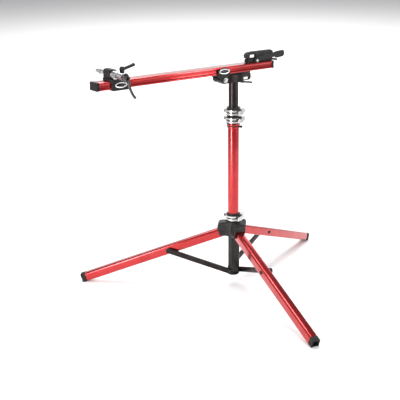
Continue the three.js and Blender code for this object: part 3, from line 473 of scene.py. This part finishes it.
def brightSteel(where, lengths):
    pitted = where.noise(0.8 * mm, 4)
    return {
        "Base Color": pitted.between(0.3, 0.7).blend(colour(0.26, 0.25, 0.25), colour(0.40, 0.39, 0.39)),
        "Metallic": 1.0,
        "Roughness": 0.22 + pitted * 0.14,
        "height": pitted,
    }


def darkSteel(where, lengths):
    pitted = where.noise(0.8 * mm, 4)
    return {
        "Base Color": pitted.between(0.3, 0.7).blend(
            colour(0.020, 0.018, 0.018), colour(0.045, 0.040, 0.040)),
        "Metallic": 0.8,
        "Roughness": 0.26 + pitted * 0.14,
        "height": pitted,
    }


def footRubber(where, lengths):
    grain = where.noise(0.6 * mm, 4)
    dust = where.noise(12 * mm, 4).between(0.5, 0.75)
    return {
        "Specular IOR Level": 0.2,
        "Base Color": (dust * 0.5).blend(colour(0.013, 0.012, 0.012), colour(0.05, 0.045, 0.042)),
        "Roughness": 0.55 + grain * 0.25,
        "height": grain,
    }


def padRubber(where, lengths):
    cells = where.add("ShaderNodeTexVoronoi", {"feature": "F1"}, {"Vector": where, "Scale": 1 / (1.6 * mm)})
    dust = where.noise(16 * mm, 4).between(0.45, 0.75)
    return {
        "Specular IOR Level": 0.25,
        "Base Color": (dust * 0.5).blend(colour(0.018, 0.017, 0.018), colour(0.052, 0.050, 0.052)),
        "Roughness": 0.52 + cells * 0.22,
        "height": cells,
    }


def badgePlate(where, lengths):
    cloud = where.noise(2 * mm, 3)
    return {
        "Base Color": cloud.between(0.3, 0.7).blend(colour(0.50, 0.50, 0.52), colour(0.68, 0.68, 0.70)),
        "Metallic": 0.9,
        "Roughness": 0.22 + cloud * 0.14,
        "height": cloud,
    }


# each finish, and the depth of its bumps in mm
reliefs = {
    "red_anodised": (redAnodised, 0.004),
    "black_casting": (castBlack, 0.05),
    "black_moulding": (mouldedBlack, 0.05),
    "black_alloy": (alloyBlack, 0.006),
    "bush_plastic": (bushPlastic, 0.03),
    "knob_plastic": (knobPlastic, 0.02),
    "bright_alloy": (brightAlloy, 0.008),
    "axle_metal": (axleMetal, 0.012),
    "bright_steel": (brightSteel, 0.02),
    "dark_steel": (darkSteel, 0.02),
    "foot_rubber": (footRubber, 0.08),
    "pad_rubber": (padRubber, 0.22),
    "badge_plate": (badgePlate, 0.01),
}
for name, (build, depth) in reliefs.items():
    makeFinish(name, build, depth * mm)
print("finishes made:", len(finishes))

slotOf = {entry["node"]: entry["material_slot"] for entry in frame["record"]["subparts"]}
for name, node in frame["nodes"].items():
    for spot in range(len(node.material_slots)):
        node.material_slots[spot].material = finishes[slotOf[name]]

view = {"place": (-1.8621, -2.3402, 1.3250), "azimuth": 54.80, "pitch": 17.96, "roll": 0.0105, "lens": 79.9}
turn, dip = math.radians(view["azimuth"]), math.radians(view["pitch"])
forward = Vector((math.cos(turn) * math.cos(dip), math.sin(turn) * math.cos(dip), -math.sin(dip)))
level = Vector((math.sin(turn), -math.cos(turn), 0))
lowered = forward.cross(level)
right = math.cos(view["roll"]) * level + math.sin(view["roll"]) * lowered
down = forward.cross(right)
cameraData = bpy.data.cameras.new("camera")
cameraData.lens = view["lens"]
cameraData.sensor_width = 36
camera = bpy.data.objects.new("camera", cameraData)
bpy.context.scene.collection.objects.link(camera)
basis = Matrix((right, -down, -forward)).transposed()
camera.matrix_world = Matrix.Translation(view["place"]) @ basis.to_4x4()
bpy.context.scene.camera = camera
bpy.context.scene.view_settings.view_transform = "Standard"

lamps = {
    "softboxLeft": {"at": (-2.5, -0.5, 0.9), "to": (0, 0.1, 0.55), "size": (0.6, 1.9), "power": 75},
    "softboxRight": {"at": (1.5, -2.3, 1.2), "to": (0, 0, 0.5), "size": (0.5, 1.7), "power": 34},
    "overhead": {"at": (0.0, 0.5, 2.9), "to": (0, 0.2, 0.0), "size": (1.6, 1.6), "power": 62},
    "backdrop": {"at": (3.2, 4.4, 3.6), "to": (3.4, 4.8, 0.0), "size": (5.0, 5.0), "power": 260},
}
for name, lamp in lamps.items():
    data = bpy.data.lights.new(name, "AREA")
    data.shape = "RECTANGLE"
    data.size, data.size_y = lamp["size"]
    data.energy = lamp["power"]
    light = bpy.data.objects.new(name, data)
    light.matrix_world = Matrix.Translation(lamp["at"]) @ (
        (Vector(lamp["to"]) - Vector(lamp["at"])).to_track_quat("-Z", "Y").to_matrix().to_4x4())
    light.visible_camera = False
    bpy.context.scene.collection.objects.link(light)

world = bpy.data.worlds.new("studio")
world.use_nodes = True
background = next(node for node in world.node_tree.nodes if node.type == "BACKGROUND")
sky = Wire(world.node_tree, world.node_tree.nodes.new("ShaderNodeTexCoord").outputs["Generated"])
skyHeight = sky.add("ShaderNodeSeparateXYZ", {}, {"Vector": sky}, 2)
# bright up to a little over the horizon, dim above, so that metal has something dark to mirror
skyStops = [(0.0, colour(1, 1, 1)), (0.30, colour(1, 1, 1)), (0.48, colour(0.22, 0.22, 0.23)),
            (1.0, colour(0.30, 0.30, 0.31))]
shade = skyHeight.add("ShaderNodeValToRGB", {"stops": skyStops}, {"Fac": skyHeight})
world.node_tree.links.new(shade.socket, background.inputs["Color"])
background.inputs["Strength"].default_value = 0.9
bpy.context.scene.world = world

floorMesh = bpy.data.meshes.new("floor")
reach = 40  # metres, to each side
floorMesh.from_pydata([(-reach, -reach, 0), (reach, -reach, 0), (reach, reach, 0), (-reach, reach, 0)], [],
                      [(0, 1, 2, 3)])
floor = bpy.data.objects.new("floor", floorMesh)
bpy.context.scene.collection.objects.link(floor)
paper = bpy.data.materials.new("paper")
paper.use_nodes = True
paperShader = next(node for node in paper.node_tree.nodes if node.type == "BSDF_PRINCIPLED")
paperShader.inputs["Base Color"].default_value = (0.94, 0.94, 0.94, 1)
paperShader.inputs["Roughness"].default_value = 0.9
paperShader.inputs["Specular IOR Level"].default_value = 0.1
floorMesh.materials.append(paper)
print("camera, light and floor ready")

# a ring round the mast: its wall's outline, with soft corners, turned about the mast's axis
def mastRing(name, low, high, outer, inner, corner, steps=3, sides=128, ripple=None, crease=38):
    wall = softened([(low, outer), (high, outer), (high, inner), (low, inner)], corner, steps, True)
    return skin(name, turned(mastFoot, vertical, closedLoop(wall), sides, ripple), crease)


tubeEdges = {"mast_tube": 0.8, "upper_tube": 0.8, "sleeve_bush": 1.6, "hub_bush": 1.6}
for node, edge in tubeEdges.items():
    low, high = span(node, vertical)
    inner, outer = radiiOf(node, mastFoot, vertical)
    corner = min(edge * mm, (outer - inner) * 0.45)
    stand(node + "_turned", mastRing(node, low, high, outer, inner, corner, 5), slotOf[node], node)

# the bearing ring: two rounded red beads with a knurled waist between them, over the black split neck; the
# waist is covered by a dark band of painted shade
ring = {"skirt": 1.6, "waist": 0.42, "belt": 0.62, "groove": 2.2, "grooveWidth": 0.4, "knurled": 1.2,
        "knurlDepth": 0.45, "knurls": 72, "neckClearance": 0.3, "neckSeat": 2.0, "shadeBandTop": 0.9,
        "shadeBandFoot": 3.0}
ringLow, neckHigh = span("bearing_ring", vertical)
ringInner, ringOuter = radiiOf("bearing_ring", mastFoot, vertical)
neckLow = span("turn_clamp", vertical)[0] - ring["neckSeat"] * mm
neckOuter = radiiOf("turn_clamp", mastFoot, vertical)[0] - ring["neckClearance"] * mm
waist = ringLow + ring["waist"] * (neckLow - ringLow)
belt = ringLow + ring["belt"] * (neckLow - ringLow)
skirtAt, grooveAt, knurledAt = (ringOuter - ring[key] * mm for key in ("skirt", "groove", "knurled"))
waistEnd, beltEnd = waist + ring["grooveWidth"] * mm, belt + ring["grooveWidth"] * mm
ringWall = [
    (ringLow, skirtAt), (waist, skirtAt), (waist, grooveAt), (waistEnd, grooveAt), (waistEnd, knurledAt),
    (belt, knurledAt), (belt, grooveAt), (beltEnd, grooveAt), (beltEnd, ringOuter), (neckLow, ringOuter),
    (neckLow, ringInner), (ringLow, ringInner),
]
ringCorners = np.array([2.2, 1.4, 0.1, 0.1, 0.4, 0.4, 0.1, 0.1, 1.3, 1.6, 0.3, 0.3]) * mm
ringProfile = closedLoop(softened(ringWall, ringCorners, 6, True))


# the knurl's depth: -depth * |sin(knurls * t / 2)| ^ 0.7, between waist and belt
def knurl(angle, along):
    band = (along > waist + 0.3 * mm) & (along < belt + 0.1 * mm)
    return -ring["knurlDepth"] * mm * band * np.abs(np.sin(angle * ring["knurls"] / 2)) ** 0.7


knurlSides = 6 * ring["knurls"]
ringMesh = skin("bearing_ring", turned(mastFoot, vertical, ringProfile, knurlSides, knurl), 30)
stand("bearing_ring_turned", ringMesh, "red_anodised", "bearing_ring")
neckMesh = mastRing("bearing_neck", neckLow, neckHigh, neckOuter, ringInner, 0.5 * mm, 4, 96)
fit("bearing_neck", neckMesh, "bush_plastic", "bearing_ring")
# painted shade: a dark knurled band laid just over the red knurled waist stands in for the shade in that
# groove
shadeBandTop, shadeBandFoot = ringOuter - ring["shadeBandTop"] * mm, ringOuter - ring["shadeBandFoot"] * mm
knurlShadeMesh = mastRing("bearing_knurl_shade", waist, belt, shadeBandTop, shadeBandFoot, 0.2 * mm, 3, knurlSides, knurl, 30)
fit("bearing_knurl_shade", knurlShadeMesh, "black_alloy", "bearing_ring")

# painted shade: a dark ring round the middle of each clamp's band stands in for the shade in its groove, and
# a dark rim at each of its ends for the shade at its edges
clampShadeBand = {"wall": 2.7, "line": 3.2, "proud": 0.25, "edge": 2.0, "depth": 2.0}
for clamp in ("turn_clamp", "height_clamp", "hub_clamp"):
    low, high = span(clamp, vertical)
    outside = radiiOf(clamp, mastFoot, vertical)[0] + (clampShadeBand["wall"] + clampShadeBand["proud"]) * mm
    inside = outside - clampShadeBand["depth"] * mm
    halfShadeLine, edge = clampShadeBand["line"] * mm / 2, clampShadeBand["edge"] * mm
    centre = (low + high) / 2
    # the line and the rims are thin dark sheets of painted shade laid just proud of the clamp
    shadeBands = {"line": (centre - halfShadeLine, centre + halfShadeLine), "rim_1": (low, low + edge),
             "rim_0": (high - edge, high)}
    for part, (bottom, top) in shadeBands.items():
        name = f"{clamp}_{part}"
        fit(name, mastRing(name, bottom, top, outside, inside, 0.2 * mm), "bush_plastic", clamp)

# the lower post: a round post with a flat towards each leg; its radius is the smaller of the round's and
# flat / cos(t - heading), rounded where they cross: (round^-n + flat^-n)^(-1/n)
post = {"edge": 1.2, "flat": 17.6, "sharpness": 60.0, "insideHub": 8.0}
postLow, postHigh = span("lower_post", vertical)
postOuter = radiiOf("lower_post", mastFoot, vertical)[1]
footWays = [pointsOf(f"foot_{letter}").mean(0) - mastFoot for letter in "abc"]
headings = [math.atan2(way[1], way[0]) for way in footWays]
shoulder = min(span("leg_hub", vertical)[0] + post["insideHub"] * mm, postHigh)


def flats(angle, along):
    away = [np.abs((angle - heading + math.pi) % (2 * math.pi) - math.pi) for heading in headings]
    flat = post["flat"] * mm / np.maximum(np.cos(np.minimum(np.min(away, 0), 1.2)), 0.2)
    power = post["sharpness"]
    rounded = (postOuter ** -power + flat ** -power) ** (-1 / power)
    return (rounded - postOuter) * (along < shoulder + mm)


postOutline = [(postLow, 0), (postLow, postOuter), (shoulder, postOuter), (shoulder, 0)]
postProfile = softened(postOutline, post["edge"] * mm)
postMesh = skin("lower_post", turned(mastFoot, vertical, postProfile, 180, flats))
stand("lower_post_turned", postMesh, "black_casting", "lower_post")

# the cap under it, with a chamfered foot and a groove round its side
cap = {"chamfer": 3.0, "groove": 4.6, "grooveEnd": 5.4, "grooveDepth": 0.8, "gap": 0.3, "edge": 0.6}
capLow = span("post_cap", vertical)[0]
capOuter = radiiOf("post_cap", mastFoot, vertical)[1]
chamfer, groove, grooveEnd, grooveDepth, gap, capEdge = (value * mm for value in cap.values())
capProfile = softened([
    (capLow, 0), (capLow, capOuter - chamfer), (capLow + chamfer, capOuter), (capLow + groove, capOuter),
    (capLow + groove, capOuter - grooveDepth), (capLow + grooveEnd, capOuter - grooveDepth),
    (capLow + grooveEnd, capOuter), (postLow - gap, capOuter), (postLow - gap, 0)], capEdge, 4)
capMesh = skin("post_cap", turned(mastFoot, vertical, capProfile, 128))
stand("post_cap_turned", capMesh, "black_moulding", "post_cap")
print("mast made")

# the rail's section: a rounded box with a shallow channel along each side
railShape = {"corner": 3.0, "groove": 2.2, "grooveHalf": 8.0, "slope": 4.0, "softness": 0.8}
railLow, railHigh = map(np.array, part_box("rail"))


def railSection(inset):
    halfWide, halfTall = (railHigh - railLow)[1] / 2 - inset, (railHigh - railLow)[2] / 2 - inset
    floorAt = halfWide - railShape["groove"] * mm
    groove, slope = railShape["grooveHalf"] * mm, railShape["slope"] * mm
    side = [(halfWide, -halfTall), (halfWide, -groove), (floorAt, slope - groove), (floorAt, groove - slope),
            (halfWide, groove), (halfWide, halfTall)]
    outline = side + [(-x, -y) for x, y in side]
    soft = [railShape["corner"]] + [railShape["softness"]] * 4 + [railShape["corner"]]
    return closedLoop(softened(outline, np.array(soft * 2) * mm, 5, True))


railMiddle = (railLow + railHigh) / 2
railStart = np.array([railLow[0], railMiddle[1], railMiddle[2]])
railEnd = np.array([railHigh[0], railMiddle[1], railMiddle[2]])
railMesh = skin("rail", bar(railStart, railEnd, acrossRail, vertical, railSection, 0.5 * mm))
stand("rail_extrusion", railMesh, "red_anodised", "rail")

legShape = {"topCorner": 7.0, "bottomCorner": 3.0, "edge": 1.0}
strutEdge = 1.3 * mm
foldAxis = {joint["name"]: unit(joint["axis"]) for joint in frame["joints"]}


# how far a tube tilts from level: its long direction, then the tilt near it at which the tube is thinnest
def tiltOf(cloud, out):
    away = cloud - cloud.mean(0)
    rise, run = np.linalg.eigh(np.cov(np.array([away @ vertical, away @ out])))[1][:, 1]
    tilts = np.linspace(-0.03, 0.03, 121) + abs(math.atan(rise / run))
    return min(tilts, key=lambda tilt: np.ptp(cloud @ (out * math.sin(tilt) + vertical * math.cos(tilt))))


for letter in "abc":
    sideways = foldAxis[f"leg_{letter}_fold"]
    out = np.cross(sideways, vertical)
    out = out * np.sign(out @ (middle(f"foot_{letter}") - mastFoot))
    cloud = pointsOf(f"leg_{letter}")
    tilt = tiltOf(cloud, out)
    down = out * math.cos(tilt) - vertical * math.sin(tilt)
    up = out * math.sin(tilt) + vertical * math.cos(tilt)
    (near, under, left), (far, over, farSide) = [limit(cloud @ np.stack([down, up, sideways], 1), 0)
                                               for limit in (np.min, np.max)]
    core = sideways * (left + farSide) / 2 + up * (under + over) / 2
    corners = np.array([legShape["bottomCorner"]] * 2 + [legShape["topCorner"]] * 2) * mm
    legMesh = skin(f"leg_{letter}", bar(
        core + down * near, core + down * far, sideways, up,
        lambda inset: roundBox(farSide - left, over - under, corners, inset), legShape["edge"] * mm))
    stand(f"leg_{letter}_tube", legMesh, "red_anodised", f"leg_{letter}")
    # its strut is a long flat link between a screw and a pin
    link = pointsOf(f"strut_{letter}")
    run = middle(f"strut_pin_{letter}") - middle(f"strut_screw_{letter}")
    along = unit(run - sideways * (run @ sideways))
    rise = np.cross(sideways, along)
    through = np.cross(along, rise)
    tall, thick = np.ptp(link @ rise), np.ptp(link @ sideways)
    corner = along * ((link @ along).min() + tall / 2) + rise * ((link @ rise).min() + tall / 2)
    origin = corner + through * (link @ through).min()
    outline = stadium(np.ptp(link @ along) - tall, tall)
    strutMesh = skin(f"strut_{letter}", slab(origin, along, rise, outline, 0, thick, strutEdge))
    stand(f"strut_{letter}_link", strutMesh, "black_alloy", f"strut_{letter}")
print("rail, legs and struts made")

# a pin along an axis: at each end a domed head with a round socket, as (along, radius) turned about the axis
pins = {"headHeight": 2.2, "socket": 0.42, "socketDepth": 1.3, "shank": 0.66, "crown": 0.82, "edge": 0.25}


def pinAlong(node, axis, finish):
    foot = middle(node) - axis * (middle(node) @ axis)
    low, high = span(node, axis)
    thick = radiiOf(node, foot, axis)[1]
    head, deep = pins["headHeight"] * mm, pins["socketDepth"] * mm
    bore, crown, shank = thick * pins["socket"], thick * pins["crown"], thick * pins["shank"]
    end = np.array([(deep, 0), (deep, bore), (0, bore), (0.1 * mm, crown), (head * 0.6, thick), (head, thick),
                    (head, shank)])
    outline = np.concatenate([end + (low, 0), end[::-1] * (-1, 1) + (high, 0)])
    grid = turned(foot, axis, softened(outline, pins["edge"] * mm, 3), 48)
    stand(node + "_turned", skin(node, grid), finish, node)


for letter in "abc":
    pinAlong(f"leg_pin_{letter}", foldAxis[f"leg_{letter}_fold"], "dark_steel")
print("pins made")

# a plain oval plate with a raised rim round a dark field; its height follows share, how far out an oval lies
badge = {
    "plateShare": [0.0, 0.35, 0.62, 0.70, 0.74, 0.86, 0.93, 0.98, 1.0, 1.0, 0.9, 0.0],
    "plateHeight": [0.80, 0.72, 0.62, 0.60, 0.66, 0.96, 1.0, 0.92, 0.72, 0.0, 0.0, 0.0],
    "fieldShare": [0.0, 0.5, 0.9, 1.0, 1.0],
    "fieldHeight": [0.92, 0.88, 0.80, 0.72, 0.5],
    "fieldEnds": 0.48, "fieldTall": 0.66, "draw": 1.6,
}


# ovals at their heights over back, joined into one skin
def disc(name, back, ovals, heights):
    rings = np.array([closedLoop(outline) for outline in ovals])
    lift = np.array(heights)[:, None, None]
    grid = back + alongRail * rings[..., :1] + vertical * rings[..., 1:] - acrossRail * lift
    return skin(name, grid, 60)


for node in ("saddle_badge", "carriage_badge"):
    low, high = map(np.array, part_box(node))
    halfLength, plateThick, halfHeight = (high - low) * (0.5, 1, 0.5)
    back = (low + high) / 2 * (1, 0, 1) + acrossRail * high[1]
    ovals = [oval(max(halfLength - (1 - share) * halfHeight * badge["draw"], halfLength * share * 0.9),
                  halfHeight * share) for share in badge["plateShare"]]
    plate = disc(node, back, ovals, np.array(badge["plateHeight"]) * plateThick)
    stand(node + "_plate", plate, "badge_plate", node)
    field = oval(halfLength - badge["fieldEnds"] * halfHeight, halfHeight * badge["fieldTall"])
    ovals = [field * share for share in badge["fieldShare"]]
    dark = disc(node + "_field", back, ovals, np.array(badge["fieldHeight"]) * plateThick)
    fit(node + "_field", dark, "black_alloy", node)
print("badges made")

# castings, forgings and mouldings: the grid size of each, in mm
castings = {
    "leg_hub": 1.1, "mast_head": 0.8, "rail_saddle": 0.8, "fork_carriage": 0.8, "axle_block": 0.7,
    "cradle_base": 0.8, "fork_end_cap": 0.6, "cradle_end_cap": 0.6, "latch_lever": 0.45,
    "turn_clamp": 0.6, "height_clamp": 0.6, "hub_clamp": 0.6, "turning_sleeve": 0.6,
    "turn_lever": 0.45, "height_lever": 0.45, "hub_lever": 0.45, "fork_lever": 0.5,
    "clamp_handle": 0.4, "cradle_pad": 0.9, "foot_a": 0.6, "foot_b": 0.6, "foot_c": 0.6,
    "cradle_strap": 0.5, "index_knob": 0.3,
}
# how much thicker an arm is made away from its pivot, in mm, and the node at the pivot
thicker = {
    "fork_lever": (1.1, "fork_skewer"),
    "clamp_handle": (1.3, "clamp_stud"),
    "latch_lever": (0.7, "hinge_bolt"),
}
armShape = {"boss": 7.0, "growth": 8.0}
ribbed = {"fork_end_cap": -1, "cradle_end_cap": 1}  # the way that a cap's face looks along the rail
ribShape = {"pitch": 4.4, "depth": 0.9}


# moves each point out along its normal by amount(place, normal)
def pushOut(mesh, amount):
    count = len(mesh.vertices)
    place, normal = np.empty(count * 3), np.empty(count * 3)
    mesh.vertices.foreach_get("co", place)
    mesh.vertices.foreach_get("normal", normal)
    place, normal = place.reshape(-1, 3), normal.reshape(-1, 3)
    mesh.vertices.foreach_set("co", (place + normal * amount(place, normal)[:, None]).ravel())
    mesh.update()


# extra times the share of the growth length that a point lies beyond the boss
def armGrowth(extra, pivot):
    root = middle(pivot)

    def amount(place, normal):
        beyond = np.linalg.norm((place - root)[:, [0, 2]], axis=1) - armShape["boss"] * mm
        return extra * mm * np.clip(beyond / (armShape["growth"] * mm), 0, 1)

    return amount


# upright ribs on a cap's face: -depth * |sin(pi * y / pitch)| where the normal looks along the rail
def ribDepth(way):
    def amount(place, normal):
        facing = np.clip(normal[:, 0] * way * 3 - 2, 0, 1)
        wave = np.abs(np.sin(place[:, 1] * math.pi / (ribShape["pitch"] * mm)))
        return -ribShape["depth"] * mm * facing * wave

    return amount


slotOf["turning_sleeve"] = "black_alloy"
for node, size in castings.items():
    mesh = castCopy(node, node, size * mm)
    if node in thicker:
        pushOut(mesh, armGrowth(*thicker[node]))
    if node in ribbed:
        pushOut(mesh, ribDepth(ribbed[node]))
    piece = stand(node + "_finished", mesh, slotOf[node], node)
print("castings made:", len(castings))
